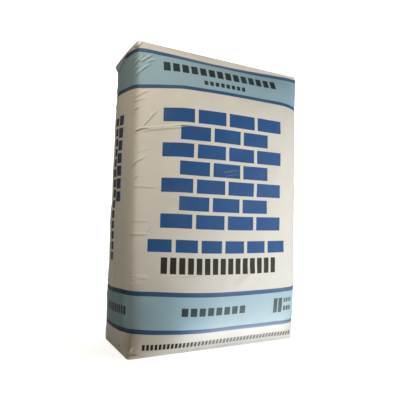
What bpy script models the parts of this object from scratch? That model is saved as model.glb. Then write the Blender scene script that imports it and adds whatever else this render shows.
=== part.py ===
"""A filled cement bag: a block-bottom paper valve sack standing on its end.

The paper tube is folded at both ends into flat rectangular block bottoms, each covered by a pasted sheet.
Between the ends its four panels bulge with the powder inside. The filling valve is a slit under the top end
of the right-hand panel, closed by a flattened paper sleeve.
Metres, +Z up, front panel towards -Y, origin at the middle of the footprint.
"""

import math

import bmesh
import bpy

# The filled sack
HEIGHT = 0.560
END_WIDTH = 0.357
END_DEPTH = 0.144
END_EDGE_ROUNDING = 0.003
CORNER_ROUNDING = 0.005

# How far the panels swell and the upright edges draw in between the ends
WIDE_PANEL_BULGE = 0.030
NARROW_PANEL_BULGE = 0.008
EDGE_DRAW_IN_X = 0.0035
EDGE_DRAW_IN_Y = 0.002
BOTTOM_SHOULDER = 0.130
TOP_SHOULDER = 0.165
FLAT_RIM = 0.005
SHOULDER_POWER = 2.6
PANEL_POWER = 4.0
FRONT_SKEW = 1.25

# Paper, and the clearance between touching pieces
WALL = 0.0005
COVER_THICKNESS = 0.0005
COVER_MARGIN = 0.009
COVER_CORNER = 0.004
GAP = 0.0003
POWDER_INSET = 0.0013

# The filling valve
VALVE_SLIT_TOP = 0.0060
VALVE_SLIT_BOTTOM = 0.0085
SLEEVE_WIDTH = 0.096
SLEEVE_LENGTH = 0.130
SLEEVE_THICKNESS = 0.0010
SLEEVE_STAND_OUT = 0.002
POWDER_HEADSPACE = 0.0083

SACK_BOTTOM = COVER_THICKNESS + GAP
SACK_TOP = HEIGHT - COVER_THICKNESS - GAP

# Places of the mesh lines: shares of a panel's width, and heights above the sack's underside
WIDE_STATIONS = (0.06, 0.13, 0.23, 0.36, 0.50, 0.64, 0.77, 0.87, 0.94)
NARROW_STATIONS = (0.14, 0.30, 0.50, 0.70, 0.86)
LEVELS_FROM_BOTTOM = (0.012, 0.026, 0.043, 0.065, 0.095, 0.140, 0.200, 0.270)
LEVELS_FROM_TOP = (0.200, 0.145, 0.102, 0.073, 0.050, 0.032, 0.018, VALVE_SLIT_BOTTOM, VALVE_SLIT_TOP)


def shoulder(distance, reach):
    """Share of the full bulge at a distance from an end: none at the rim, all of it past the shoulder."""
    share = min(max((distance - FLAT_RIM) / reach, 0.0), 1.0)
    return 1.0 - (1.0 - share) ** SHOULDER_POWER


def fullness(z):
    return shoulder(z - SACK_BOTTOM, BOTTOM_SHOULDER) * shoulder(SACK_TOP - z, TOP_SHOULDER)


def panel_line(start, end, outward, bulge, skew, stations):
    """Points across one panel between its two upright edges, bulging along the outward direction."""
    length = math.dist(start, end)
    near = CORNER_ROUNDING / length
    points = []
    for share in (near, *stations, 1.0 - near):
        swell = bulge * (1.0 - abs(2.0 * share ** skew - 1.0) ** PANEL_POWER)
        points.append((
            start[0] + (end[0] - start[0]) * share + outward[0] * swell,
            start[1] + (end[1] - start[1]) * share + outward[1] * swell,
        ))
    return points


def outline(z):
    """The sack's outer outline at one height, anticlockwise from above, starting at the front-left edge."""
    full = fullness(z)
    half_x = END_WIDTH / 2 - EDGE_DRAW_IN_X * full
    half_y = END_DEPTH / 2 - EDGE_DRAW_IN_Y * full
    corners = [(-half_x, -half_y), (half_x, -half_y), (half_x, half_y), (-half_x, half_y)]
    wide, narrow = WIDE_PANEL_BULGE * full, NARROW_PANEL_BULGE * full
    panels = [
        panel_line(corners[0], corners[1], (0, -1), wide, FRONT_SKEW, WIDE_STATIONS),
        panel_line(corners[1], corners[2], (1, 0), narrow, 1.0, NARROW_STATIONS),
        panel_line(corners[2], corners[3], (0, 1), wide, 1.0, WIDE_STATIONS),
        panel_line(corners[3], corners[0], (-1, 0), narrow, 1.0, NARROW_STATIONS),
    ]
    points = []
    for index, panel in enumerate(panels):
        before, after = panels[index - 1][-1], panel[0]
        rounded = [corners[index][axis] / 2 + (before[axis] + after[axis]) / 4 for axis in (0, 1)]
        points.append(tuple(rounded))
        points.extend(panel)
    return points


def inset_outline(points, distance):
    """The same outline moved inwards, each point along its own normal."""
    moved = []
    for index, (x, y) in enumerate(points):
        before, after = points[index - 1], points[(index + 1) % len(points)]
        run_x, run_y = after[0] - before[0], after[1] - before[1]
        length = math.hypot(run_x, run_y)
        moved.append((x - distance * run_y / length, y + distance * run_x / length))
    return moved


def body_levels(low, high):
    """Each ring's height and inset: a rounded rim, the shared heights, and a rounded rim again."""
    rim = END_EDGE_ROUNDING
    heights = [SACK_BOTTOM + d for d in LEVELS_FROM_BOTTOM] + [SACK_TOP - d for d in LEVELS_FROM_TOP]
    rings = [(low, rim), (low + rim * 0.3, rim * 0.3), (low + rim, 0.0)]
    rings += [(z, 0.0) for z in heights if low + rim * 1.4 < z < high - rim * 1.2]
    rings += [(high - rim, 0.0), (high - rim * 0.3, rim * 0.3), (high, rim)]
    return rings


def loft(low, high, inset):
    """A closed body through the outlines at every level, with a flat end at each height."""
    mesh = bmesh.new()
    rings = []
    for z, rim_inset in body_levels(low, high):
        points = inset_outline(outline(z), inset + rim_inset)
        rings.append([mesh.verts.new((x, y, z)) for x, y in points])
    count = len(rings[0])
    for lower, upper in zip(rings, rings[1:]):
        for index in range(count):
            after = (index + 1) % count
            mesh.faces.new((lower[index], lower[after], upper[after], upper[index]))
    mesh.faces.new(reversed(rings[0]))
    mesh.faces.new(rings[-1])
    return mesh


def cut_valve_slit(mesh):
    """Take out the strip of the right-hand panel that forms the mouth of the valve."""
    low, high = SACK_TOP - VALVE_SLIT_BOTTOM, SACK_TOP - VALVE_SLIT_TOP
    reach = END_DEPTH * (NARROW_STATIONS[-1] - 0.5)
    strip = []
    for face in mesh.faces:
        middle = face.calc_center_median()
        if low < middle.z < high and middle.x > END_WIDTH * 0.45 and abs(middle.y) < reach:
            strip.append(face)
    bmesh.ops.delete(mesh, geom=strip, context="FACES")


def paper(name, colour, roughness):
    """A plain painted-paper or powder material."""
    material = bpy.data.materials.new(name)
    material.use_nodes = True
    shader = material.node_tree.nodes["Principled BSDF"]
    shader.inputs["Base Color"].default_value = (*colour, 1.0)
    shader.inputs["Roughness"].default_value = roughness
    shader.inputs["Metallic"].default_value = 0.0
    return material


def add_object(name, mesh_data, material, collection):
    piece = bpy.data.objects.new(name, mesh_data)
    piece.data.materials.append(material)
    collection.objects.link(piece)
    return piece


def finish_mesh(name, mesh):
    data = bpy.data.meshes.new(name)
    mesh.to_mesh(data)
    mesh.free()
    data.shade_smooth()
    data.set_sharp_from_angle(angle=math.radians(30))
    return data


def add_paper_sack(collection):
    mesh = loft(SACK_BOTTOM, SACK_TOP, 0.0)
    cut_valve_slit(mesh)
    sack = add_object(
        "paper_sack", finish_mesh("paper_sack", mesh), paper("sack paper", (0.60, 0.58, 0.53), 0.6), collection
    )
    wall = sack.modifiers.new("paper wall", "SOLIDIFY")
    wall.thickness = WALL
    wall.offset = -1.0
    wall.use_even_offset = True
    wall.use_rim = True


def add_cement_fill(collection):
    mesh = loft(SACK_BOTTOM + WALL + GAP, SACK_TOP - POWDER_HEADSPACE, POWDER_INSET)
    add_object(
        "cement_fill", finish_mesh("cement_fill", mesh), paper("cement", (0.30, 0.30, 0.29), 0.95), collection
    )


def add_sheet(name, size, centre, corner, colour, collection):
    """A flat rectangular sheet with rounded corners."""
    mesh = bmesh.new()
    bmesh.ops.create_cube(mesh, size=1.0)
    bmesh.ops.scale(mesh, vec=size, verts=mesh.verts)
    upright = [e for e in mesh.edges if abs(e.verts[0].co.z - e.verts[1].co.z) > size[2] / 2]
    bmesh.ops.bevel(mesh, geom=upright, offset=corner, segments=3, profile=0.5, affect="EDGES")
    sheet = add_object(name, finish_mesh(name, mesh), paper(name + " paper", colour, 0.7), collection)
    sheet.location = centre


def add_cover_sheets(collection):
    size = (END_WIDTH - 2 * COVER_MARGIN, END_DEPTH - 2 * COVER_MARGIN, COVER_THICKNESS)
    for name, z in (("bottom_cover_sheet", COVER_THICKNESS / 2), ("top_cover_sheet", HEIGHT - COVER_THICKNESS / 2)):
        add_sheet(name, size, (0.0, 0.0, z), COVER_CORNER, (0.55, 0.52, 0.46), collection)


def add_valve_sleeve(collection):
    z = SACK_TOP - (VALVE_SLIT_TOP + VALVE_SLIT_BOTTOM) / 2
    mouth = END_WIDTH / 2 + SLEEVE_STAND_OUT
    size = (SLEEVE_LENGTH, SLEEVE_WIDTH, SLEEVE_THICKNESS)
    add_sheet("valve_sleeve", size, (mouth - SLEEVE_LENGTH / 2, 0.0, z), COVER_CORNER, (0.45, 0.33, 0.20), collection)


for old in list(bpy.data.objects):
    bpy.data.objects.remove(old)

bag = bpy.data.collections.new("cement_bag")
bpy.context.scene.collection.children.link(bag)
add_paper_sack(bag)
add_cement_fill(bag)
add_cover_sheets(bag)
add_valve_sleeve(bag)
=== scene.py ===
import math
import random

import bmesh
import bpy
import numpy as np
from mathutils import Matrix, Vector, noise


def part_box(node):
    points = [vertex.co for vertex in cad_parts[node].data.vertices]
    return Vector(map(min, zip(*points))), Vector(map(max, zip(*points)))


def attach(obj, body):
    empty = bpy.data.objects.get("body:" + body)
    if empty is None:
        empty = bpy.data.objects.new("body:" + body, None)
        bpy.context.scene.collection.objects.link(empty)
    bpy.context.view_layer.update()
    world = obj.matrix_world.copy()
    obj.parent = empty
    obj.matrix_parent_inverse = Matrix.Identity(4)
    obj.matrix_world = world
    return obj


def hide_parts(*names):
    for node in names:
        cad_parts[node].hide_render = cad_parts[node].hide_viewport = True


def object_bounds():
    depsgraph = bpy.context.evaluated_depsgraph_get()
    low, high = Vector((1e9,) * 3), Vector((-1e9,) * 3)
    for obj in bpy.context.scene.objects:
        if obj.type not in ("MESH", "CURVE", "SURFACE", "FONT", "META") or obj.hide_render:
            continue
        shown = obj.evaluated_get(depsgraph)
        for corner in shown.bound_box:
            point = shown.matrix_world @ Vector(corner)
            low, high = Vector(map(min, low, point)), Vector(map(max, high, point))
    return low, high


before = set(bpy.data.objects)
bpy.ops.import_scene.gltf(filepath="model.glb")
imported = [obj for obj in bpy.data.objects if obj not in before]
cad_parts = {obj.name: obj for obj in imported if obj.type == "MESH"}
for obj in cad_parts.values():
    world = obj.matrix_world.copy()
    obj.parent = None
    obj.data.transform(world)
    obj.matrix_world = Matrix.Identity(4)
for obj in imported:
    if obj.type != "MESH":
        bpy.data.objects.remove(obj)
cad_low, cad_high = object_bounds()


# Camera
# A phone camera held about level with the middle of the bag, close to it and to its left, so that the near
# upright edge is tallest and the front panel runs away to the right.

CAMERA_PLACE = Vector((-0.4031, -0.7604, 0.2336))
CAMERA_TURN = math.radians(27.41)
CAMERA_TILT = math.radians(3.45)
CAMERA_ROLL = math.radians(1.357)
CAMERA_LENS = 36.96
CAMERA_SENSOR = 36.0
NEAREST_SEEN = 0.01


def add_camera():
    forward = Vector((
        math.sin(CAMERA_TURN) * math.cos(CAMERA_TILT),
        math.cos(CAMERA_TURN) * math.cos(CAMERA_TILT),
        math.sin(CAMERA_TILT),
    ))
    level = Vector((math.cos(CAMERA_TURN), -math.sin(CAMERA_TURN), 0.0))
    upright = level.cross(forward)
    right = math.cos(CAMERA_ROLL) * level + math.sin(CAMERA_ROLL) * upright
    up = -math.sin(CAMERA_ROLL) * level + math.cos(CAMERA_ROLL) * upright
    turn = Matrix((right, up, -forward)).transposed().to_4x4()
    camera = bpy.data.objects.new("camera", bpy.data.cameras.new("camera"))
    camera.data.lens = CAMERA_LENS
    camera.data.sensor_width = CAMERA_SENSOR
    camera.data.clip_start = NEAREST_SEEN
    camera.matrix_world = Matrix.Translation(CAMERA_PLACE) @ turn
    bpy.context.scene.collection.objects.link(camera)
    bpy.context.scene.camera = camera


add_camera()


# Form of the filled sack
# A tube of kraft paper, folded and pasted shut at both ends into flat rectangular block bottoms. The powder
# swells its four panels between the ends, while the upright edges draw in a little and turn soft.

MM = 0.001
COVER_MARGIN = 9 * MM
cover_low, cover_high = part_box("top_cover_sheet")
END_WIDTH = cover_high.x - cover_low.x + 2 * COVER_MARGIN
END_DEPTH = cover_high.y - cover_low.y + 2 * COVER_MARGIN
GIRTH = 2 * (END_WIDTH + END_DEPTH)
SACK_TOP = cad_high.z
SACK_BOTTOM = 0.2 * MM
HEIGHT = SACK_TOP - SACK_BOTTOM

# A place on the girth is counted from the near upright edge, over the front, the right-hand side, the back
# and the left-hand side. These are the other three upright edges.
RIGHT_EDGE = END_WIDTH
BACK_EDGE = END_WIDTH + END_DEPTH
LEFT_EDGE = GIRTH - END_DEPTH

# Of the front, right-hand, back and left-hand panel: the full bulge, and how square it is at either edge. The
# front is fullest right of its middle, more so towards the top. The narrow sides bow out a little at the top.
BULGES = np.array([30, 9, 28, 8]) * MM
LEFT_POWERS = np.array([3.2, 2.2, 4.0, 2.2])
RIGHT_POWERS = np.array([7.0, 2.2, 4.0, 2.2])
FRONT_SKEW, FRONT_SKEW_GAIN = 1.18, 0.2
SIDE_RIM_BOW, RIM_BOW_START, RIM_BOW_RUN = 1.7 * MM, 480 * MM, 60 * MM

# The panels swell at once above the floor, and later under the top
FOOT_RIM, FOOT_SHOULDER = 3 * MM, 130 * MM
TOP_RIM, TOP_SHOULDER = 14 * MM, 165 * MM
SHOULDER_POWER = 3.2

# How far the upright edges stand in sideways from the corners of the ends, as (height, inset) in mm
NEAR_DRAW_IN = (0, 0), (40, -1), (300, 0), (500, 2), (550, 1), (560, 0)
FAR_DRAW_IN = (
    (0, 0), (8, -0.6), (40, -1.3), (110, -0.4), (260, 0.9), (430, 4), (530, 5.2), (548, 5.6), (555, 1.6),
    (560, 0),
)
RIGHT_DRAW_IN = (
    (0, 1), (25, 1.5), (60, -1), (115, -2.8), (213, -2), (310, -2.6), (410, -1.6), (470, -2), (510, -3.3),
    (545, -4), (554, -3), (560, -1),
)

# Rounding of the upright edges: crisp at the folded ends, soft between, and softest low at the near edge,
# where it is given as (height, reach) in mm
END_REACH, RIGHT_REACH, BACK_REACH = 2 * MM, 10 * MM, 14 * MM
NEAR_REACH = (0, 24), (130, 20), (300, 13), (470, 11)
NEAR_FOOT_REACH = (0, 10), (60, 2)
CRISP_END, SOFTENING_RUN, SOFTENING_TOP_RUN = 4 * MM, 70 * MM, 18 * MM
EDGE_ZONE = 70 * MM
ROUNDING_STEPS, ROUNDING_PEAK = 13, 1.35


def ease(value):
    """A smooth step from 0 to 1."""
    share = np.clip(value, 0.0, 1.0)
    return share * share * (3.0 - 2.0 * share)


def by_height(z, stops):
    """A value in metres read from (height, value) stops in millimetres."""
    heights, values = zip(*stops)
    return np.interp(z, np.array(heights) * MM, np.array(values) * MM)


def fullness(z):
    """Share of the full bulge at a height."""
    low = np.clip((z - SACK_BOTTOM - FOOT_RIM) / FOOT_SHOULDER, 0.0, 1.0)
    high = np.clip((SACK_TOP - z - TOP_RIM) / TOP_SHOULDER, 0.0, 1.0)
    return (1 - (1 - low) ** SHOULDER_POWER) * (1 - (1 - high) ** SHOULDER_POWER)


def corners(z):
    """The upright edges at a height, before rounding: front-left, front-right, back-right, back-left."""
    x, y = END_WIDTH / 2, END_DEPTH / 2
    near, far, right = [by_height(z, stops) for stops in (NEAR_DRAW_IN, FAR_DRAW_IN, RIGHT_DRAW_IN)]
    return [(near - x, -y), (x - right, -y), (x - right, y), (far - x, y)]


def sharp_outline(s, z):
    """Places on the outline at girth coordinate s and height z, with sharp upright edges."""
    s = np.mod(s, GIRTH)
    starts = np.array([0.0, RIGHT_EDGE, BACK_EDGE, LEFT_EDGE])
    widths = np.array([END_WIDTH, END_DEPTH, END_WIDTH, END_DEPTH])
    panel = np.searchsorted(starts, s, side="right") - 1
    share = (s - starts[panel]) / widths[panel]
    skew = np.where(panel == 0, FRONT_SKEW + FRONT_SKEW_GAIN * z / HEIGHT, 1.0)
    across = 2 * share ** skew - 1
    power = np.where(across < 0, LEFT_POWERS[panel], RIGHT_POWERS[panel])
    rim_bow = np.where(panel % 2, SIDE_RIM_BOW, 0.0) * ease((z - RIM_BOW_START) / RIM_BOW_RUN)
    bulge = (BULGES[panel] * fullness(z) + rim_bow) * (1 - np.abs(across) ** power)
    x = bulge * np.array([0, 1, 0, -1])[panel]
    y = bulge * np.array([-1, 0, 1, 0])[panel]
    places = corners(z)
    for index in range(4):
        (ax, ay), (bx, by) = places[index], places[(index + 1) % 4]
        here = panel == index
        x = x + here * (ax + (bx - ax) * share)
        y = y + here * (ay + (by - ay) * share)
    return x, y


def edge_reach(s, z):
    """How far to both sides the outline is averaged, at girth coordinate s and height z."""
    at_near = np.minimum(s, GIRTH - s) < EDGE_ZONE
    at_right = np.abs(s - RIGHT_EDGE) < EDGE_ZONE
    soft = ease((np.minimum(z - SACK_BOTTOM, SACK_TOP - z) - CRISP_END) / SOFTENING_RUN)
    soft_under_top = ease((SACK_TOP - z - 0.5 * MM) / SOFTENING_TOP_RUN)
    soft = np.where(at_near & (z > HEIGHT / 2), soft_under_top, soft)
    least = np.where(at_near, by_height(z, NEAR_FOOT_REACH), END_REACH)
    most = np.where(at_near, by_height(z, NEAR_REACH), np.where(at_right, RIGHT_REACH, BACK_REACH))
    return least + soft * (most - least)


def outline(s, z):
    """The outline with rounded edges: the sharp one, averaged over the edge's reach, most in its middle."""
    reach = edge_reach(s, z)
    steps = np.linspace(-1, 1, ROUNDING_STEPS)
    weights = ROUNDING_PEAK - np.abs(steps)
    total = np.zeros((2, *s.shape))
    for step, weight in zip(steps, weights / weights.sum()):
        total += weight * np.array(sharp_outline(s + step * reach, z))
    return total


def spaced(*stops):
    """Places from the first stop to the last; each stop is (place, spacing as far as the next), in mm."""
    places = []
    for (start, gap), (end, _) in zip(stops, stops[1:]):
        count = max(1, round((end - start) / gap))
        places.extend(np.linspace(start, end, count, endpoint=False))
    return np.array(places) * MM


sleeve_low, sleeve_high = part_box("valve_sleeve")
VALVE_GAP, VALVE_SIDE_GAP, VALVE_LIP = 0.75 * MM, 4 * MM, 0.15 * MM
VALVE_LOW, VALVE_HIGH = sleeve_low.z - VALVE_GAP, sleeve_high.z + VALVE_GAP
VALVE_REACH = sleeve_high.y + VALVE_SIDE_GAP
SEAM = BACK_EDGE + 92 * MM
RIM_HEIGHTS = np.array([0.0, 0.12, 0.45, 0.9, 1.5]) * MM
RIM_INSETS = np.array([1.3, 0.75, 0.35, 0.12, 0.02]) * MM

# The mesh is finest round the near edge, at the seam and, up the wall, where the creases and the valve are
seam = SEAM / MM
girth_lines = spaced(
    (0, 1.25), (40, 2.0), (70, 3.6), (335, 2.4), (375, 4.5), (485, 2.6), (520, 6.5), (seam - 1, 0.7),
    (seam + 1.1, 6.5), (840, 2.4), (965, 1.25), (GIRTH / MM, 1.0),
)
rise_to_valve = spaced(
    (2.2, 0.8), (11, 1.6), (42, 2.9), (280, 2.4), (395, 1.2), (418, 1.8), (434, 1.7), (492, 1.25),
    (VALVE_LOW / MM, 1.0),
)
valve_levels = [VALVE_LOW, VALVE_LOW + VALVE_LIP, VALVE_HIGH - VALVE_LIP, VALVE_HIGH]
past_valve = spaced((VALVE_HIGH / MM + 1.2, 1.3), (SACK_TOP / MM - 1.9, 1.0))
wall_levels = np.concatenate([rise_to_valve, valve_levels, past_valve])
levels = np.concatenate([SACK_BOTTOM + RIM_HEIGHTS, wall_levels, (SACK_TOP - RIM_HEIGHTS)[::-1]])
insets = np.concatenate([RIM_INSETS, np.zeros(len(wall_levels)), RIM_INSETS[::-1]])

grid_s, grid_z = np.meshgrid(girth_lines, levels)
signed_s = np.where(grid_s > GIRTH / 2, grid_s - GIRTH, grid_s)
wall = np.stack([*outline(grid_s, grid_z), grid_z], axis=-1)


def surface_normals(points):
    """Outward normals of a grid of points that closes on itself in its second direction."""
    round_way = np.roll(points, -1, axis=1) - np.roll(points, 1, axis=1)
    normal = np.cross(round_way, np.gradient(points, axis=0))
    return normal / np.linalg.norm(normal, axis=-1, keepdims=True)


wall_normals = surface_normals(wall)
level_normals = wall_normals * [1, 1, 0]
level_normals /= np.linalg.norm(level_normals, axis=-1, keepdims=True)
wall -= level_normals * insets[:, None, None]


# Creases of the sack
# Stiff paper that is pinned to square ends and swells between them has to buckle. Short sharp creases run
# out of the corners and across the upright edges, and the flat tube's old folds still show down the sides.

CREST_POWER = 1.25
FADE_IN, FADE_OUT = 0.25, 0.4
WEAR_AND_HIGHLIGHT_ABOVE, WEAR_AND_HIGHLIGHT_HALF = 0.4 * MM, 1.25 * MM
DUST_AND_SHADE_BELOW, DUST_AND_SHADE_HALF = 2.4 * MM, 1.5 * MM

# Height of the paper over the plain wall, and its marks: worn pale folds with painted highlights, and dirt
# and painted shade in and under them
relief = np.zeros_like(grid_s)
pale = np.zeros_like(grid_s)
grime_and_shade = np.zeros_like(grid_s)
end_distance = np.minimum(grid_z - SACK_BOTTOM, SACK_TOP - grid_z)


def round_from(start):
    """The way round the sack from a place on the girth, negative to its left."""
    return np.mod(grid_s - start + GIRTH / 2, GIRTH) - GIRTH / 2


def beside(line):
    """Distance to a line of (girth, height) places, share of its length passed, and distance over it."""
    lengths = np.linalg.norm(np.diff(line, axis=0), axis=1)
    nearest = np.full(grid_s.shape, np.inf)
    along = np.zeros(grid_s.shape)
    above = np.zeros(grid_s.shape)
    passed = 0.0
    for start, end, length in zip(line, line[1:], lengths):
        turn = (end - start) / length
        ds, dz = round_from(start[0]), grid_z - start[1]
        reached = np.clip(ds * turn[0] + dz * turn[1], 0.0, length)
        away = np.hypot(ds - reached * turn[0], dz - reached * turn[1])
        closer = away < nearest
        nearest = np.where(closer, away, nearest)
        along = np.where(closer, (passed + reached) / lengths.sum(), along)
        above = np.where(closer, np.copysign(away, dz * turn[0] - ds * turn[1]), above)
        passed += length
    return nearest, along, above


def crease(points, height, width, tone):
    """Adds a sharp ridge, or a valley if height is negative, along (girth, height) places in mm.

    The coating whitens along the fold, with a painted highlight on it, and dust and painted shade lie just
    under it, as plainly as tone says.
    """
    nearest, along, above = beside(np.array(points, dtype=float) * MM)
    taper = ease(along / FADE_IN) * ease((1 - along) / FADE_OUT)
    tent = np.clip(1 - nearest / (width * MM / 2), 0.0, 1.0) ** CREST_POWER
    relief[:] += height * MM * tent * taper
    wear_and_highlight = np.exp(-((above - WEAR_AND_HIGHLIGHT_ABOVE) / WEAR_AND_HIGHLIGHT_HALF) ** 2)
    dust_and_shade = np.exp(-((above + DUST_AND_SHADE_BELOW) / DUST_AND_SHADE_HALF) ** 2)
    pale[:] = np.maximum(pale, tone * taper * wear_and_highlight)
    grime_and_shade[:] = np.maximum(grime_and_shade, tone * taper * dust_and_shade)


# Fan under the top fold at the near corner
crease([(0, 522), (9.5, 526.7), (16.3, 532.4), (22.5, 537.5), (31, 543.5)], 1.5, 5, 1.0)
crease([(-27, 514), (-16.7, 521.5), (-8, 523.7), (2, 526.8), (5, 530.5), (11, 539.5)], 1.2, 5, 0.8)
crease([(13, 521), (20, 526.5), (26.6, 530.2), (36, 532)], 0.9, 5, 0.8)
crease([(-27, 527), (-17.4, 531.4), (-11, 537)], 0.8, 5, 0.6)
crease([(-14, 495), (-3, 502), (4.5, 507.3), (13, 515), (20, 520.2), (28, 525.5)], 1.8, 6, 1.0)
crease([(-25, 509.5), (-10, 511.5), (0, 514.5), (7, 519.5)], 0.8, 5, 0.5)
crease([(-10, 457), (3, 462.5), (12.4, 469.1), (26, 476)], 1.2, 8, 0.7)
crease([(-15, 450.5), (2, 454.3), (20, 459)], 0.8, 6, 0.5)
crease([(-9, 434.5), (1.2, 440), (6, 442)], 1.2, 5, 0.9)
crease([(-15, 426), (-3, 435)], 0.7, 6, 0.5)

# Long creases across the near upright edge
crease([(7, 402), (17.7, 414.7), (26.9, 427.2), (40, 442)], 1.2, 5, 0.9)
crease([
    (-13, 394), (2, 399.2), (9.5, 402.2), (21.6, 404), (38.7, 407), (57.8, 410), (77.2, 414.2),
    (112, 418.6),
], 1.6, 6, 1.2)
crease([(-5, 396.2), (2, 399.4), (9, 402.2), (16, 403.6), (32, 405.6)], 1.7, 5, 2.0)
crease([(3, 392.8), (13, 398.2), (25, 401.2), (45.7, 405), (70, 408.9), (105, 414)], 0.9, 5, 0.7)
crease([(-13, 328), (-4, 337.9), (1.6, 342.7), (9.4, 347.5), (24, 357)], 1.4, 7, 0.8)
crease([(2, 360), (27, 369)], 0.6, 7, 0.3)
crease([(-2, 312), (7, 320)], 1.1, 5, 0.8)
crease([(-6, 296), (4, 299.8), (46, 299)], 0.9, 6, 0.6)
crease([(-6, 238), (34, 239)], 0.6, 6, 0.4)
crease([(-11, 214), (6, 215), (16, 216), (34, 215)], 1.2, 6, 0.7)
crease([(23, 219), (32, 232)], 0.6, 5, 0.4)
crease([(-7, 144), (36, 144)], 0.8, 7, 0.5)
crease([(-5, 137), (20, 140), (39, 139)], 0.8, 6, 0.5)
crease([(-7, 128), (21, 132)], 0.6, 6, 0.4)
crease([(22, 146), (95, 143), (150, 146)], 0.5, 7, 0.25)

# Shallow wrinkles in the middle of the front, and a broad soft ridge low at its right
crease([(160, 331), (203, 339)], -0.8, 9, 0.15)
crease([(165, 325), (205, 332)], -0.6, 8, 0.1)
crease([(199, 343), (234, 350)], -0.6, 9, 0.1)
crease([(192, 116), (222, 136), (252, 157)], 2.2, 30, 0.0)

# The tube lay flat before it was filled, with its long folds where the narrow sides now have their middle
for fold in (RIGHT_EDGE + END_DEPTH / 2, GIRTH - END_DEPTH / 2):
    crease([(fold / MM, 20), (fold / MM, 540)], 1.3, 26, 0.0)

# Edges that the photograph hides buckle in the same way
chance = random.Random(12)
for edge, fans in ((RIGHT_EDGE, 1), (BACK_EDGE, 5), (LEFT_EDGE, 4)):
    for end, towards in ((SACK_TOP, 1), (SACK_BOTTOM, -1)):
        for _ in range(fans):
            side = chance.choice((-1, 1))
            start = edge / MM + side * chance.uniform(-10, 6)
            height = end / MM - towards * chance.uniform(22, 105)
            run = chance.uniform(18, 42)
            climb = towards * run * chance.uniform(0.35, 0.9)
            middle = (start + side * run * 0.5, height + climb * chance.uniform(0.4, 0.6))
            places = sorted([(start, height), middle, (start + side * run, height + climb)])
            crease(places, chance.uniform(0.5, 1.1), chance.uniform(5, 7), chance.uniform(0.3, 0.8))
    for _ in range(3 * fans):
        start = edge / MM + chance.uniform(-22, 4)
        height = chance.uniform(110, 450)
        slope = chance.uniform(-0.15, 0.15)
        run = chance.uniform(18, 46)
        crease([(start, height), (start + run, height + slope * run)], chance.uniform(0.3, 0.6), 6, 0.4)
for _ in range(5):
    start, height = chance.uniform(540, 780), chance.uniform(150, 430)
    run, slope = chance.uniform(30, 70), chance.uniform(-0.3, 0.3)
    crease([(start, height), (start + run, height + slope * run)], -chance.uniform(0.3, 0.6), 14, 0.1)


def lumps(size, seed, upright=1.0):
    """Smooth unevenness over the sack, from about -1 to 1, with lumps of a size in mm."""
    x, y, z = wall.reshape(-1, 3).T * (1.0 / (size * MM))
    values = [noise.noise(Vector(place)) for place in zip(x, y, z * upright + seed)]
    return np.array(values).reshape(grid_s.shape)


def above_line(*places):
    """Height over a line through (girth, height) places in mm; girth runs below 0 on the left-hand side."""
    girths, heights = np.array(places, dtype=float).T * MM
    return grid_z - np.interp(signed_s, girths, heights)


def spot(girth, height, wide, tall):
    """A soft round mark, given in mm."""
    across, up = round_from(girth * MM) / (wide * MM), (grid_z - height * MM) / (tall * MM)
    return np.exp(-(across ** 2 + up ** 2))


# Tucked corners of the top fold: the near one is a small flap laid over the side, with a painted highlight on
# it, the far one a dog-ear painted with the grey of white paper in shade, along the rim too
over_flap = above_line(
    (-26, 580), (-24, 562), (-17, 556), (-10, 552.3), (-4, 551), (1.5, 551.9), (5, 554.6), (7.8, 558.5),
    (9.3, 562), (11, 580),
)
over_ear = above_line(
    (-192, 580), (-188, 561), (-176, 553.5), (-160, 548), (-144, 544), (-128, 545.2), (-122, 546.5),
    (-115, 548.3), (-107, 550), (-100, 551.3), (-83, 553.8), (-63, 555.8), (-42, 557), (-35, 559), (-29, 562),
    (-27, 580),
)
ear_depth = 0.35 + 0.65 * ease((-100 * MM - signed_s) / (18 * MM))
# Each tucked corner stands proud, with a painted shadow in a line under its fold
for over, lift, shade, depth in ((over_flap, 0.9, 1.6, 1.0), (over_ear, 0.6, 2.0, ear_depth)):
    relief += lift * MM * ease(over / (1.2 * MM) + 0.5)
    grime_and_shade = np.maximum(grime_and_shade, depth * np.exp(-((over / MM + shade) / shade) ** 2))
# Painted highlight on the near flap
flap = ease(over_flap / (1.0 * MM) + 0.5)
# Painted shade: the grey of white paper in shade, on the far dog-ear and along the rim, where the print stops
ear_shade = ease(over_ear / (1.0 * MM) + 0.5)

# Creases end at the folded ends, and the paper is uneven between them
relief *= ease(end_distance / (2 * MM))
swells = 1.2 * MM * lumps(95, 11.0, 1.5) + 0.6 * MM * lumps(34, 31.0, 1.6)
relief += ease(end_distance / (45 * MM)) * swells
relief += ease(end_distance / (12 * MM)) * 0.12 * MM * lumps(9, 51.0)

# The knocked lower corner: pushed in along the upright edge, with a sharp fold, a dent darkened with painted
# shadow, and a speck
crease([(0, 8.5), (5.5, 14), (11, 20)], 1.8, 5, 1.0)
KNOCK_DEPTH, KNOCK_WIDTH, KNOCK_LEAN = 5 * MM, 20 * MM, 0.15
KNOCK_FOOT, KNOCK_TOP = 5 * MM, 70 * MM
past_fold = (grid_z - 12 * MM) * KNOCK_LEAN + 19 * MM
wedge = np.clip((past_fold - signed_s) / KNOCK_WIDTH, 0.0, 1.0) ** 1.3
wedge *= ease(signed_s / (40 * MM) + 1.0)
wedge *= ease((grid_z - KNOCK_FOOT) / (6 * MM)) * ease((KNOCK_TOP - grid_z) / (34 * MM))
relief -= KNOCK_DEPTH * wedge
relief -= 2.2 * MM * spot(8.5, 6.9, 8, 2.4) + 0.8 * MM * spot(-43, 14, 4, 1.6)

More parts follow.
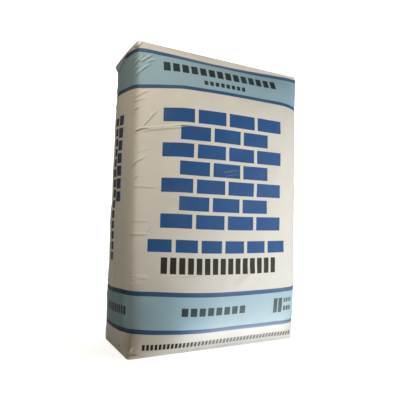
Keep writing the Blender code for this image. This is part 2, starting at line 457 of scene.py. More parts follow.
# The front over that corner and the corner's facet are darkened with painted shade and some dirt, and the
# front is faintly darker just under the top fold
front_dirt_and_shade = 0.38 * spot(28, 68, 56, 75) + 0.34 * spot(8, 84, 17, 38)
front_dirt_and_shade *= ease(signed_s / (14 * MM) + 0.9)
corner_dirt_and_shade = 0.15 * wedge + 0.45 * spot(-1, 17, 24, 24)
# Dirt and painted shade: the dent's painted shadow, painted shade with some dirt over the lower corner, the
# speck of dirt, and faint darkening under the top fold
grime_and_shade = np.maximum.reduce([
    grime_and_shade, 3.0 * spot(7, 6.7, 9, 1.6), 2.4 * spot(-43, 14, 3.6, 1.6), front_dirt_and_shade + corner_dirt_and_shade,
    0.18 * spot(105, 557, 60, 7),
])

# The edge of the pasted bottom shows as a fine groove just over the floor, with a line of painted shade along
# it
foot_line = np.exp(-((grid_z - 2.9 * MM) / (0.7 * MM)) ** 2)
relief -= 0.3 * MM * foot_line
grime_and_shade = np.maximum(grime_and_shade, 0.35 * foot_line)

# The lapped and pasted long seam of the tube, down the back
lap = np.clip((grid_s - SEAM) / (0.8 * MM) + 0.5, 0.0, 1.0) * (1 - ease((grid_s - SEAM) / (55 * MM)))
relief += 0.45 * MM * lap * ease(end_distance / (3 * MM))

# Along the foot of the front the paper is painted a cleaner white: a painted highlight of light from the
# floor
foot_highlight = ease((signed_s - 15 * MM) / (60 * MM)) * ease((END_WIDTH + 20 * MM - signed_s) / (20 * MM))
foot_highlight *= ease((10.5 * MM - grid_z) / (4 * MM) + 0.5)

# Painted highlights on the near flap and along the foot; the dirt and painted shade fade under them
pale = np.maximum.reduce([pale, 1.1 * flap, 0.95 * foot_highlight])
grime_and_shade *= 1 - np.minimum(pale, 1.0)

skin = wall + surface_normals(wall) * relief[..., None]

# The mouth of the valve: a flat slot under the top fold of the right-hand side, as deep as its sleeve
in_mouth = (grid_z > VALVE_LOW + 0.1 * MM) & (grid_z < VALVE_HIGH - 0.1 * MM)
in_mouth &= np.abs(grid_s - RIGHT_EDGE - END_DEPTH / 2) < END_DEPTH / 2
in_mouth &= np.abs(skin[..., 1]) < VALVE_REACH
skin[..., 0] = np.where(in_mouth, sleeve_low.x - 1 * MM, skin[..., 0])


# Folded ends and the sack's mesh
# At each end the long flaps overlap along the middle and the corners are tucked in at 45 degrees. The top
# sinks a little where the powder has settled.

FLAP_STEP, FROM_RIM, TOP_SINK = 1.5 * MM, 6 * MM, 4 * MM
CAP_SHARES = (0.03, 0.08, 0.13, 0.22, 0.34, 0.5, 0.7, 0.88)
SPINE_KNOTS = 25


def end_relief(x, y, top):
    """Height of a folded end above or below its rim, before the cover sheet."""
    half_x, half_y = END_WIDTH / 2, END_DEPTH / 2
    inwards = np.minimum(half_x - np.abs(x), half_y - np.abs(y)).clip(0)
    tuck = ease((half_y - np.abs(y) - half_x + np.abs(x)) / FLAP_STEP + 0.5)
    flap = ease(y / FLAP_STEP + 0.5) * (1 - tuck)
    if top:
        dish = 1 - (1 - inwards / half_y) ** 2
        sleeve = ease((x - sleeve_low.x) / (3 * MM)) * ease((sleeve_high.y - np.abs(y)) / (2 * MM))
        folds = (0.3 * flap + 0.25 * tuck + 0.4 * sleeve - 1.6) * MM
        return folds * ease(inwards / FROM_RIM) - TOP_SINK * dish
    return (0.85 + 0.1 * flap + 0.1 * tuck) * MM * ease(inwards / FROM_RIM)


# Length of the paper up the bulging wall, and how far from its nearer end the lines that edge each band lie
PRINT_LENGTH = 572 * MM
LOW_LINE, LOW_BAND_LINE = 46.5 * MM, 112.5 * MM
HIGH_LINE, HIGH_BAND_LINE = 14 * MM, 80 * MM

# The print is measured from the foot up to the first height, and from the top a run above it
MEASURED_FROM_FOOT, MEASURE_CHANGES = 120 * MM, 350 * MM


def by_girth(*stops):
    """A value in metres for each column, from (girth, value) stops in mm, smoothed over about 16 mm."""
    places, values = np.array(stops, dtype=float).T * MM
    reach = np.linspace(-8, 8, 9) * MM
    return np.mean([np.interp(girth_lines + step, places, values, period=GIRTH) for step in reach], axis=0)


# How far each printed line has drifted on the paper, because the panels pucker towards their edges
drift_low = by_girth(
    (0, 1.8), (20, 1), (40, -0.5), (130, -1.2), (215, 0.2), (300, 0.4), (326, -2.2), (350, -5),
    (500, -4), (600, 0), (800, 0), (858, -5), (887, -3.5), (926, -1.3), (954, 0.3), (987, 1.7),
)
drift_low_band = by_girth(
    (0, 1.0), (15, 0), (100, 0.3), (210, 0), (290, 1.3), (317, 1.2), (345, -2),
    (500, -2), (600, 0), (800, 0), (858, -3), (927, -1), (971, 1.3), (995, 1.3),
)
drift_high_band = by_girth(
    (0, 4), (20, 1.7), (40, -0.3), (80, -2.6), (120, -1), (200, -0.5), (330, -1.2), (357, -3),
    (500, -5), (600, 0), (800, 0), (858, -10), (902, -8), (941, -3.3), (977, 0.2),
)
drift_high = by_girth(
    (0, 4), (15, 2.3), (80, 2), (150, 3), (215, 1.6), (265, -0.5), (304, -2.6), (332, -4), (357, -3),
    (500, -4), (600, 0), (800, 0), (858, -20), (905, -17), (925, -10), (941, -6), (972, -2.3),
)

steps_up = np.linalg.norm(np.diff(wall, axis=0), axis=-1)
paper_up = np.vstack([np.zeros(len(girth_lines)), np.cumsum(steps_up, axis=0)])
paper_down = paper_up[-1] - paper_up
share_low = np.clip((paper_up - LOW_LINE) / (LOW_BAND_LINE - LOW_LINE), 0, 1)
share_high = np.clip((paper_down - HIGH_LINE) / (HIGH_BAND_LINE - HIGH_LINE), 0, 1)
print_up = paper_up - drift_low * (1 - share_low) - drift_low_band * share_low
print_down = paper_down - drift_high * (1 - share_high) - drift_high_band * share_high
towards_top = np.clip((grid_z - MEASURED_FROM_FOOT) / MEASURE_CHANGES, 0, 1)
print_height = print_up * (1 - towards_top) + (PRINT_LENGTH - print_down) * towards_top


def sack_mesh():
    """One closed mesh: the wall as a grid, and each end as rings that close towards its middle line."""
    rows, columns = skin.shape[:2]
    verts = [tuple(place) for place in skin.reshape(-1, 3)]
    print_places = list(zip(grid_s.ravel(), print_height.ravel()))
    marks = {"pale": list(pale.ravel()), "grime_and_shade": list(grime_and_shade.ravel()), "ear_shade": list(ear_shade.ravel())}
    faces = []

    def join(lower, upper):
        for column in range(columns):
            after = (column + 1) % columns
            faces.append((lower[column], lower[after], upper[after], upper[column]))

    for row in range(rows - 1):
        start = row * columns
        join(range(start, start + columns), range(start + columns, start + 2 * columns))
    for top in (False, True):
        rim = skin[-1 if top else 0]
        ring = range((rows - 1) * columns, rows * columns) if top else range(columns)
        half_spine = (END_WIDTH - END_DEPTH) / 2
        spine = np.stack([np.clip(rim[:, 0], -half_spine, half_spine), np.zeros(columns)], axis=1)
        for share in CAP_SHARES:
            flat = rim[:, :2] * (1 - share) + spine * share
            height = rim[:, 2] + end_relief(flat[:, 0], flat[:, 1], top)
            beyond = share * END_DEPTH / 2
            edge = print_height[-1] + beyond if top else print_height[0] - beyond
            new_ring = range(len(verts), len(verts) + columns)
            verts.extend(zip(flat[:, 0], flat[:, 1], height))
            print_places.extend(zip(girth_lines, edge))
            for values in marks.values():
                values.extend([0.0] * columns)
            if top:
                join(ring, new_ring)
            else:
                join(new_ring, ring)
            ring = new_ring
        knots = np.linspace(-half_spine, half_spine, SPINE_KNOTS)
        nearest = [len(verts) + int(np.argmin(np.abs(knots - x))) for x in rim[:, 0]]
        verts.extend(zip(knots, 0 * knots, rim[0, 2] + end_relief(knots, 0 * knots, top)))
        print_places.extend((END_WIDTH / 2 + x, edge[0]) for x in knots)
        for values in marks.values():
            values.extend([0.0] * len(knots))
        for column in range(columns):
            after = (column + 1) % columns
            patch = [ring[column], ring[after], nearest[after], nearest[column]]
            if nearest[after] == nearest[column]:
                patch.pop()
            faces.append(tuple(patch) if top else tuple(reversed(patch)))

    data = bpy.data.meshes.new("paper_sack_skin")
    data.from_pydata(verts, [], faces)
    layer = data.uv_layers.new(name="print")
    for face in data.polygons:
        wraps = any(vertex % columns == 0 for vertex in face.vertices) and any(
            vertex % columns == columns - 1 for vertex in face.vertices)
        for loop, vertex in zip(face.loop_indices, face.vertices):
            girth, height = print_places[vertex]
            layer.data[loop].uv = (girth + GIRTH if wraps and vertex % columns == 0 else girth, height)
    for name, values in marks.items():
        attribute = data.attributes.new(name, "FLOAT", "POINT")
        attribute.data.foreach_set("value", np.array(values, dtype=np.float32))
    data.shade_smooth()
    return data


def add_piece(name, data):
    piece = bpy.data.objects.new(name, data)
    bpy.context.scene.collection.objects.link(piece)
    return piece


sack = add_piece("printed_sack", sack_mesh())


# Printed paper of the sack
# The outer ply is bleached kraft, printed before the tube was made: two pale blue bands edged in dark blue,
# plain brick courses, and rows of small black blocks. Ink is thin, cracked on the creases, and a bit dusty.
# Painted highlights lie on the crests of the creases, and painted shade lies under them and in the folds.

class Tone:
    """A socket of a material. Arithmetic on it adds Math nodes, and node() adds a node of another kind."""

    def __init__(self, tree, socket=None):
        self.tree, self.socket = tree, socket

    def node(self, kind, settings=None, inputs=None, output=0):
        made = self.tree.nodes.new(kind)
        for name, value in (settings or {}).items():
            if name == "stops":
                elements = made.color_ramp.elements
                for index, (place, colour) in enumerate(value):
                    element = elements[index] if index < 2 else elements.new(place)
                    element.position, element.color = place, colour
            else:
                setattr(made, name, value)
        for name, value in (inputs or {}).items():
            if isinstance(value, Tone):
                self.tree.links.new(value.socket, made.inputs[name])
            else:
                made.inputs[name].default_value = value
        return Tone(self.tree, made.outputs[output])

    def math(self, operation, *others, clamp=False):
        """A Math node on this socket and any further values."""
        settings = {"operation": operation, "use_clamp": clamp}
        return self.node("ShaderNodeMath", settings, dict(enumerate((self, *others))))

    def __add__(self, other):
        return self.math("ADD", other)

    def __sub__(self, other):
        return self.math("SUBTRACT", other)

    def __rsub__(self, other):
        return self.math("MULTIPLY_ADD", -1.0, other)

    def __mul__(self, other):
        return self.math("MULTIPLY", other)

    def __mod__(self, other):
        return self.math("FLOORED_MODULO", other)

    __radd__ = __add__
    __rmul__ = __mul__

    def past(self, edge, soft):
        """1 above the edge and 0 below it, with a step of the given softness."""
        return self.math("MULTIPLY_ADD", 1 / soft, 0.5 - edge / soft, clamp=True)

    def near(self, centre, half, soft):
        """1 within half of the centre, and 0 further away."""
        away = (self - centre).math("ABSOLUTE")
        return away.math("MULTIPLY_ADD", -1 / soft, half / soft + 0.5, clamp=True)

    def colour(self, under, over, mode="MIX"):
        """The under colour where this mask is 0, and the over colour where it is 1."""
        settings = {"data_type": "RGBA", "blend_type": mode}
        return self.node("ShaderNodeMix", settings, {0: self, 6: under, 7: over}, 2)

    def noise(self, place, scale, detail=2.0, roughness=0.5):
        inputs = {"Vector": place, "Scale": scale, "Detail": detail, "Roughness": roughness}
        return self.node("ShaderNodeTexNoise", None, inputs)


def new_material(name):
    material = bpy.data.materials.new(name)
    material.use_nodes = True
    tree = material.node_tree
    shader = tree.nodes["Principled BSDF"]
    place = Tone(tree).node("ShaderNodeTexCoord", output=3)
    return material, shader, place


def finish_with(shader, colour, roughness, height, strength, distance):
    """Feeds a material's colour, roughness and bump into its shader."""
    inputs = {"Strength": strength, "Distance": distance, "Height": height}
    bump = height.node("ShaderNodeBump", None, inputs)
    for name, value in (("Base Color", colour), ("Roughness", roughness), ("Normal", bump)):
        value.tree.links.new(value.socket, shader.inputs[name])


WHITE_PAPER = (0.76, 0.73, 0.643, 1.0)
CREAM_PAPER = (0.70, 0.665, 0.57, 1.0)
FIBRE_GREY = (0.68, 0.65, 0.60, 1.0)
# Each ink's second colour is its darker copy for the narrow sides, a painted shade
PALE_BLUE, PALE_BLUE_SHADED = (0.322, 0.483, 0.560, 1.0), (0.240, 0.365, 0.410, 1.0)
LOW_BLUE, LOW_BLUE_SHADED = (0.345, 0.530, 0.600, 1.0), (0.208, 0.328, 0.365, 1.0)
DARK_BLUE, DARK_BLUE_SHADED = (0.043, 0.103, 0.220, 1.0), (0.024, 0.052, 0.110, 1.0)
BRICK_BLUE, BRICK_BLUE_SHADED = (0.016, 0.085, 0.255, 1.0), (0.035, 0.050, 0.130, 1.0)
INK_BLACK = (0.031, 0.027, 0.020, 1.0)
BLACK_OVER_BLUE = (0.032, 0.046, 0.050, 1.0)
EAR_SHADE_GREY = (0.46, 0.455, 0.53, 1.0)
# Colours of worn crests with painted highlights, and of dirt with painted shade in the folds
WEAR_AND_HIGHLIGHT_PAPER, WEAR_AND_HIGHLIGHT_INK = (0.72, 0.70, 0.62, 1.0), (0.43, 0.52, 0.54, 1.0)
FOLD_DIRT_AND_SHADE = (0.42, 0.36, 0.27, 1.0)
FOLD_SHADE = (0.48, 0.41, 0.36, 1.0)
CEMENT_GREY = (0.36, 0.35, 0.33, 1.0)
INK_EDGE = 0.5 * MM
LOW_LINE_WIDTH, HIGH_LINE_WIDTH = 8.1 * MM, 7.1 * MM


def printed_paper():
    material, shader, place = new_material("printed kraft paper")
    print_map = place.node("ShaderNodeUVMap", {"uv_map": "print"})
    girth = place.node("ShaderNodeSeparateXYZ", None, {0: print_map}, 0) % (END_WIDTH + END_DEPTH)
    up = place.node("ShaderNodeSeparateXYZ", None, {0: print_map}, 1)
    wear_and_highlight, dirt_and_shade, painted_ear_shade = [
        place.node("ShaderNodeAttribute", {"attribute_name": mark}, None, 2)
        for mark in ("pale", "grime_and_shade", "ear_shade")
    ]

    def ruled(middle, width):
        """A straight printed band right round the sack."""
        return up.near(middle, width / 2, INK_EDGE)

    low_band = ruled((LOW_LINE + LOW_BAND_LINE) / 2, LOW_BAND_LINE - LOW_LINE)
    high_band = ruled(PRINT_LENGTH - (HIGH_LINE + HIGH_BAND_LINE) / 2, HIGH_BAND_LINE - HIGH_LINE)
    lines = ruled(LOW_LINE, LOW_LINE_WIDTH) + ruled(LOW_BAND_LINE, LOW_LINE_WIDTH)
    lines = lines + ruled(PRINT_LENGTH - HIGH_BAND_LINE, HIGH_LINE_WIDTH)
    thin_middle = girth.near(150 * MM, 65 * MM, 60 * MM)
    lines = lines + ruled(PRINT_LENGTH - HIGH_LINE, HIGH_LINE_WIDTH) * (0.96 - 0.1 * thin_middle)

    def course(run, across, start, end, middle, height, pitch, joint):
        """A row of like blocks in mm, from start to end along run, lying about middle across."""
        block = ((run - start * MM) % (pitch * MM)).near(pitch * MM / 2, (pitch - joint) * MM / 2, INK_EDGE)
        row = run.near((start + end) * MM / 2, (end - start) * MM / 2, INK_EDGE)
        return block * row * across.near(middle * MM, height * MM / 2, INK_EDGE)

    bricks = course(girth, up, 24, 312, 199, 23, 48, 7)
    bricks = bricks + course(up, girth, 275, 447, 436, 25, 24.5, 5)
    for number in range(7):
        shift = 32 if number % 2 else 0
        bricks = bricks + course(girth, up, 44 + shift, 300 - shift, 244 + number * 32.5, 26, 64, 7)

    high = PRINT_LENGTH / MM
    blocks = course(girth, up, 48, 288, 163.5, 29.5, 16, 5)
    for start, end, middle, height, pitch, joint in (
        (45, 297, high - 38.2, 18, 18, 5), (123, 217, high - 63, 9.5, 11.75, 4),
        (88, 222, 82, 14.5, 16.75, 4.5), (285, 309, 83, 28, 12, 2.5),
        (311, 335, 92, 8, 6, 2), (311, 335, 76, 9, 8, 2),
        (394, 492, 81, 15, 9.8, 3), (24, 351, 19, 10.5, 7.6, 2.6),
    ):
        blocks = blocks + course(girth, up, start, end, middle, height, pitch, joint)
    blocks = blocks + course(up, girth, 163, 443, 406, 23, 20, 5)

    # Inks on the narrow sides are painted darker, a painted shade, and low at the right of the wide sides
    # they are painted thinner, a painted glare
    shaded_sides = girth.near(END_WIDTH + END_DEPTH / 2, END_DEPTH / 2 - 12 * MM, 24 * MM)
    # Painted glare: low at the right of the wide sides the inks are thinner, where the key light reflects off
    # the coating
    painted_glare = girth.near(241 * MM, 116 * MM, 80 * MM) * up.math("MULTIPLY_ADD", -8.0, 1.1, clamp=True)
    mottle = place.noise(place, 220.0, 3.0)
    patches = place.noise(place, 14.0, 4.0, 0.6)
    fibres = place.noise(place, 900.0, 2.0)
    cover = (1 - 0.5 * painted_glare) * (1 - painted_ear_shade) * (0.965 + 0.05 * patches)

    colour = (patches * 0.5).colour(WHITE_PAPER, CREAM_PAPER)
    colour = (fibres * 0.35).colour(colour, FIBRE_GREY)
    # On the narrow sides each ink takes its darker painted-shade copy
    colour = (high_band * cover).colour(colour, shaded_sides.colour(PALE_BLUE, PALE_BLUE_SHADED))
    colour = (low_band * cover).colour(colour, shaded_sides.colour(LOW_BLUE, LOW_BLUE_SHADED))
    thick = (1 - 0.35 * painted_glare) * (1 - painted_ear_shade)
    colour = (lines * thick).colour(colour, shaded_sides.colour(DARK_BLUE, DARK_BLUE_SHADED))
    colour = (bricks * cover).colour(colour, shaded_sides.colour(BRICK_BLUE, BRICK_BLUE_SHADED))
    banded = low_band + high_band
    black = banded.colour(INK_BLACK, BLACK_OVER_BLUE)
    colour = (blocks * ((1 - 0.32 * painted_glare) * (1 - painted_ear_shade))).colour(colour, black)
    # The dog-ear and the rim strip get the grey of white paper in shade, a painted shade
    colour = painted_ear_shade.colour(colour, EAR_SHADE_GREY)
    shade = banded.colour(FOLD_DIRT_AND_SHADE, FOLD_SHADE)
    # Dirt and painted shade: under the creases and folds, in the dent and over the lower corner
    colour = dirt_and_shade.math("MULTIPLY", 0.95, clamp=True).colour(colour, shade, "MULTIPLY")
    # Worn crests with a painted highlight, and painted highlights on the near flap and along the foot
    colour = (wear_and_highlight * 0.9).colour(colour, banded.colour(WEAR_AND_HIGHLIGHT_PAPER, WEAR_AND_HIGHLIGHT_INK), "SCREEN")
    dust = place.noise(place, 7.0, 6.0, 0.65).past(0.62, 0.22) * 0.14
    colour = dust.colour(colour, CEMENT_GREY)

    roughness = 0.50 + 0.14 * mottle
    height = fibres * 0.25 + mottle * 0.35 + place.noise(place, 60.0, 3.0) * 0.8
    finish_with(shader, colour, roughness, height, 0.25, 0.0006)
    shader.inputs["Specular IOR Level"].default_value = 0.22
    return material


sack.data.materials.append(printed_paper())
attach(sack, "root")
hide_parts("paper_sack")


# Cement powder
# Grey cement, packed hard against the inside of the paper and settled a little short of the top. Its mesh
# takes every fourth column and sixth row of the sack's.

POWDER_INSET, POWDER_BOTTOM = 2.8 * MM, 1.6 * MM
POWDER_TOP = VALVE_LOW - 1.2 * MM
EVERY_COLUMN, EVERY_ROW = 4, 6
POWDER_DARK, POWDER_LIGHT = (0.24, 0.24, 0.235, 1.0), (0.36, 0.355, 0.34, 1.0)


def powder_mesh():
    columns = slice(None, None, EVERY_COLUMN)
    rows = [row for row in range(EVERY_ROW, len(levels), EVERY_ROW) if levels[row] < POWDER_TOP - 4 * MM]
    top_row = int(np.searchsorted(levels, POWDER_TOP))
    inside = skin - surface_normals(wall) * POWDER_INSET
    inner = inside[rows][:, columns]
    bottom, top = inner[:1].copy(), inside[top_row:top_row + 1, columns].copy()
    bottom[..., 2] = SACK_BOTTOM + POWDER_BOTTOM
    top[..., 2] = POWDER_TOP
    rings = np.concatenate([bottom, inner, top])
    count = rings.shape[1]
    mesh = bmesh.new()
    made = [[mesh.verts.new(place) for place in ring] for ring in rings]
    for lower, upper in zip(made, made[1:]):
        for index in range(count):
            after = (index + 1) % count
            mesh.faces.new((lower[index], lower[after], upper[after], upper[index]))
    mesh.faces.new(reversed(made[0]))
    mesh.faces.new(made[-1])
    data = bpy.data.meshes.new("cement_powder")
    mesh.to_mesh(data)
    mesh.free()
    data.shade_smooth()
    return data


def powder_finish():
    material, shader, place = new_material("cement powder")
    grains = place.noise(place, 700.0, 4.0, 0.7)
    clods = place.noise(place, 40.0, 4.0)
    colour = clods.colour(POWDER_DARK, POWDER_LIGHT)
    finish_with(shader, colour, 0.85 + 0.1 * grains, grains * 0.5 + clods, 0.6, 0.001)
    return material


powder = add_piece("cement_powder", powder_mesh())
powder.data.materials.append(powder_finish())
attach(powder, "root")
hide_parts("cement_fill")


# Cover sheets
# A plain kraft sheet is pasted over each folded end, torn from the roll rather than cut. The top one has
# taken on the folds beneath it, and the bottom one is pressed flat.

COVER_THICKNESS = 0.45 * MM
COVER_COLUMNS, COVER_ROWS = 69, 27
COVER_BUFF, COVER_TAN = (0.66, 0.61, 0.52, 1.0), (0.56, 0.50, 0.41, 1.0)
COVER_FIBRE = (0.46, 0.40, 0.31, 1.0)
FOLD_ANGLE = math.radians(50)


def cover_mesh(name, top):
    across, deep = np.meshgrid(np.linspace(-1, 1, COVER_COLUMNS), np.linspace(-1, 1, COVER_ROWS))
    half_x, half_y = END_WIDTH / 2 - COVER_MARGIN, END_DEPTH / 2 - COVER_MARGIN
    seed = 7.0 if top else 2.0
    ragged = [noise.noise(Vector((a * 9, b * 4, seed))) for a, b in zip(across.ravel(), deep.ravel())]
    ragged = np.array(ragged).reshape(across.shape) * 0.8 * MM
    x = across * half_x + ragged * across ** 9
    y = deep * half_y + ragged * deep ** 9
    blister = np.array([noise.noise(Vector((a * 60, b * 60, 3.0))) for a, b in zip(x.ravel(), y.ravel())])
    if top:
        under = SACK_TOP + end_relief(x, y, True) + (0.3 + 0.12 * blister.reshape(x.shape)) * MM
    else:
        under = np.full(x.shape, 0.1 * MM)
    rows, columns = x.shape
    sides = [np.stack([x, y, under + lift], axis=-1).reshape(-1, 3) for lift in (0.0, COVER_THICKNESS)]
    count = rows * columns
    faces = []
    for row in range(rows - 1):
        for column in range(columns - 1):
            a = row * columns + column
            quad = (a, a + 1, a + columns + 1, a + columns)
            faces.append(tuple(reversed(quad)))
            faces.append(tuple(place + count for place in quad))
    border = list(range(columns - 1)) + [row * columns + columns - 1 for row in range(rows - 1)]
    border += [count - 1 - column for column in range(columns - 1)]
    border += [(rows - 1 - row) * columns for row in range(rows - 1)]
    for a, b in zip(border, border[1:] + border[:1]):
        faces.append((a, b, b + count, a + count))
    data = bpy.data.meshes.new(name)
    data.from_pydata([tuple(place) for side in sides for place in side], [], faces)
    data.shade_smooth()
    data.set_sharp_from_angle(angle=FOLD_ANGLE)
    return data


def cover_finish():
    material, shader, place = new_material("cover kraft")
    fibres = place.noise(place, 800.0, 3.0)
    cloud = place.noise(place, 25.0, 5.0, 0.6)
    colour = cloud.colour(COVER_BUFF, COVER_TAN)
    colour = (fibres * 0.3).colour(colour, COVER_FIBRE)
    dust = place.noise(place, 11.0, 6.0, 0.65).past(0.56, 0.2) * 0.4
    colour = dust.colour(colour, CEMENT_GREY)
    finish_with(shader, colour, 0.62 + 0.12 * cloud, fibres * 0.4 + cloud * 0.8, 0.3, 0.0006)
    return material


cover_kraft = cover_finish()
for name, node, top in (
    ("top_cover", "top_cover_sheet", True),
    ("bottom_cover", "bottom_cover_sheet", False),
):
    cover = add_piece(name, cover_mesh(name, top))
    cover.data.materials.append(cover_kraft)
    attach(cover, "root")
    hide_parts(node)


# Valve sleeve
# A tube of brown kraft that was flattened and pasted into the slot when the top was folded, and that the
# powder presses shut. Its mouth stands just out of the slot and gapes a little.

HALF_FLAT, SLEEVE_PLY, GAPE = 0.5 * MM, 0.25 * MM, 0.55 * MM
MOUTH_OUT = 3 * MM
SLEEVE_BROWN, SLEEVE_TAN = (0.34, 0.22, 0.12, 1.0), (0.44, 0.30, 0.18, 1.0)


def sleeve_mesh():
    half_width = (sleeve_high.y - sleeve_low.y) / 2
    middle = (sleeve_low.z + sleeve_high.z) / 2
    stations = np.concatenate([np.linspace(0, 0.88, 9), np.linspace(0.91, 1.0, 7)])
    start, mouth = sleeve_low.x, END_WIDTH / 2 + MOUTH_OUT
    turns = np.linspace(0, 2 * math.pi, 48, endpoint=False)
    rings = []
    for ply in (0.0, SLEEVE_PLY):
        side = []
        for share in stations:
            opening = ease((share - 0.85) / 0.15)
            gape = GAPE * opening
            half_height = HALF_FLAT + gape - ply
            y = np.sign(np.cos(turns)) * np.abs(np.cos(turns)) ** 0.6 * (half_width - ply)
            belly = 1 - (y / half_width) ** 2 * gape / (HALF_FLAT + gape)
            wave = 0.25 * MM * np.sin(y / (9 * MM)) * opening
            z = middle + np.sin(turns) * half_height * belly + wave
            lip = 0.6 * MM * np.sin(y / (14 * MM) + 1.0) * (share > 0.99)
            side.append(np.stack([start + (mouth - start) * share + lip, y, z], axis=-1))
        rings.append(side)
    loops = rings[0] + rings[1][::-1]
    mesh = bmesh.new()
    made = [[mesh.verts.new(place) for place in loop] for loop in loops]
    count = len(turns)
    for lower, upper in zip(made, made[1:]):
        for index in range(count):
            after = (index + 1) % count
            mesh.faces.new((lower[index], lower[after], upper[after], upper[index]))
    mesh.faces.new(reversed(made[0]))
    mesh.faces.new(made[-1])
    bmesh.ops.recalc_face_normals(mesh, faces=mesh.faces)
    data = bpy.data.meshes.new("valve_sleeve_tube")
    mesh.to_mesh(data)
    mesh.free()
    data.shade_smooth()
    data.set_sharp_from_angle(angle=FOLD_ANGLE)
    return data


def sleeve_finish():
    material, shader, place = new_material("brown kraft")
    fibres = place.noise(place, 700.0, 3.0)
    cloud = place.noise(place, 40.0, 4.0)
    colour = cloud.colour(SLEEVE_BROWN, SLEEVE_TAN)
    dust = place.noise(place, 60.0, 5.0, 0.7).past(0.55, 0.25) * 0.5
    colour = dust.colour(colour, CEMENT_GREY)
    finish_with(shader, colour, 0.6 + 0.15 * fibres, fibres * 0.5 + cloud, 0.3, 0.0005)
    return material


sleeve = add_piece("kraft_sleeve", sleeve_mesh())
sleeve.data.materials.append(sleeve_finish())
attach(sleeve, "root")
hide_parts("valve_sleeve")


# Floor, backdrop and light
# A pale sweep, curving up into the backdrop, that glows for itself alone. The key stands to the right at
# mid-height, a weaker light at the upper left, and two small ones lie before the bag and shine up its front.
# One more reaches only the top sheet, and one behind the bag lights the backdrop.

SWEEP_FRONT, SWEEP_BACK, SWEEP_BEND, SWEEP_TOP, SWEEP_SIDE = -4.0, 1.6, 1.0, 3.4, 5.0
BEND_STEPS = 16
SWEEP_GREY, SWEEP_WHITE = (0.78, 0.78, 0.77, 1.0), (0.82, 0.82, 0.81, 1.0)
SWEEP_GLOW = 0.7
WARM_WHITE, PURE_WHITE = (1.0, 0.96, 0.90, 1.0), (1.0, 1.0, 1.0, 1.0)
SURROUNDINGS = 0.02


def shine_only_on(source, piece):
    """Keeps the light of one object off everything but the piece."""
    lit = bpy.data.collections.new("lit by " + source.name)
    lit.objects.link(piece)
    source.light_linking.receiver_collection = lit


def add_sweep():
    line = [(SWEEP_FRONT, 0.0), (SWEEP_BACK, 0.0)]
    for step in range(1, BEND_STEPS + 1):
        turn = math.radians(90 * step / BEND_STEPS)
        line.append((SWEEP_BACK + SWEEP_BEND * math.sin(turn), SWEEP_BEND * (1 - math.cos(turn))))
    line.append((SWEEP_BACK + SWEEP_BEND, SWEEP_TOP))
    mesh = bmesh.new()
    ends = [[mesh.verts.new((x, y, z)) for y, z in line] for x in (-SWEEP_SIDE, SWEEP_SIDE)]
    for index in range(len(line) - 1):
        mesh.faces.new((ends[0][index], ends[1][index], ends[1][index + 1], ends[0][index + 1]))
    bmesh.ops.rotate(mesh, verts=mesh.verts, matrix=Matrix.Rotation(-CAMERA_TURN, 3, "Z"))
    data = bpy.data.meshes.new("sweep")
    mesh.to_mesh(data)
    mesh.free()
    data.shade_smooth()
    sweep = add_piece("sweep", data)
    material, shader, place = new_material("pale sweep")
    speckle = place.noise(place, 30.0, 4.0)
    colour = speckle.colour(SWEEP_GREY, SWEEP_WHITE)
    finish_with(shader, colour, 0.75 + 0.1 * speckle, speckle, 0.05, 0.001)
    shader.inputs["Emission Color"].default_value = PURE_WHITE
    shader.inputs["Emission Strength"].default_value = SWEEP_GLOW
    data.materials.append(material)
    shine_only_on(sweep, sweep)


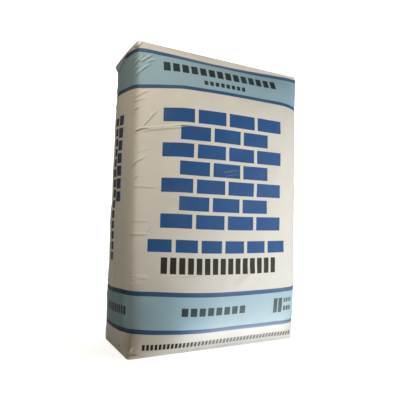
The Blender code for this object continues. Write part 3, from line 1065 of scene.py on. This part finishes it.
def add_light(name, place, target, width, depth, power, colour):
    """A rectangular light, with sizes in metres and power in watts, that the camera doesn't see."""
    lamp = bpy.data.lights.new(name, "AREA")
    lamp.shape = "RECTANGLE"
    lamp.size, lamp.size_y, lamp.energy, lamp.color = width, depth, power, colour
    holder = bpy.data.objects.new(name, lamp)
    holder.visible_camera = False
    aim = (Vector(target) - Vector(place)).to_track_quat("-Z", "Y").to_matrix().to_4x4()
    holder.matrix_world = Matrix.Translation(place) @ aim
    bpy.context.scene.collection.objects.link(holder)
    return holder


add_sweep()
middle = (0.0, 0.0, 0.28)
away = Vector((math.sin(CAMERA_TURN), math.cos(CAMERA_TURN), 0.0))
add_light("key", (0.493, -0.630, 0.260), middle, 0.45, 0.45, 6.4, (0.590, 0.605, 0.635))
add_light("upper fill", (-0.410, -0.410, 0.750), middle, 0.40, 0.40, 8.1, (0.246, 0.216, 0.172))
add_light("low fill", (0.08, -0.25, 0.008), (0.08, -0.25, 1.0), 0.20, 0.10, 2.0, (0.060, 0.064, 0.070))
add_light("foot fill", (0.04, -0.12, 0.004), (0.04, -0.12, 1.0), 0.26, 0.05, 1.0, (0.062, 0.067, 0.078))
over_top = add_light("over top", (0.05, 0.05, 1.3), (0.0, 0.0, 0.56), 0.5, 0.5, 2.0, (1.0, 0.96, 0.9))
shine_only_on(over_top, bpy.data.objects["top_cover"])
behind, far_behind = 0.5 * away + Vector((0, 0, 1.3)), 2.4 * away + Vector((0, 0, 0.6))
add_light("backdrop", behind, far_behind, 1.4, 1.4, 25.0, (1.0, 1.0, 1.0))

# The surroundings light the bag dimly, and the camera sees them white
world = bpy.data.worlds.new("studio")
world.use_nodes = True
nodes, links = world.node_tree.nodes, world.node_tree.links
dim = nodes["Background"]
dim.inputs["Color"].default_value = WARM_WHITE
dim.inputs["Strength"].default_value = SURROUNDINGS
white = nodes.new("ShaderNodeBackground")
white.inputs["Color"].default_value = PURE_WHITE
seen = nodes.new("ShaderNodeLightPath")
mixer = nodes.new("ShaderNodeMixShader")
links.new(seen.outputs["Is Camera Ray"], mixer.inputs[0])
links.new(dim.outputs[0], mixer.inputs[1])
links.new(white.outputs[0], mixer.inputs[2])
links.new(mixer.outputs[0], nodes["World Output"].inputs["Surface"])
bpy.context.scene.world = world
bpy.context.scene.view_settings.view_transform = "Standard"
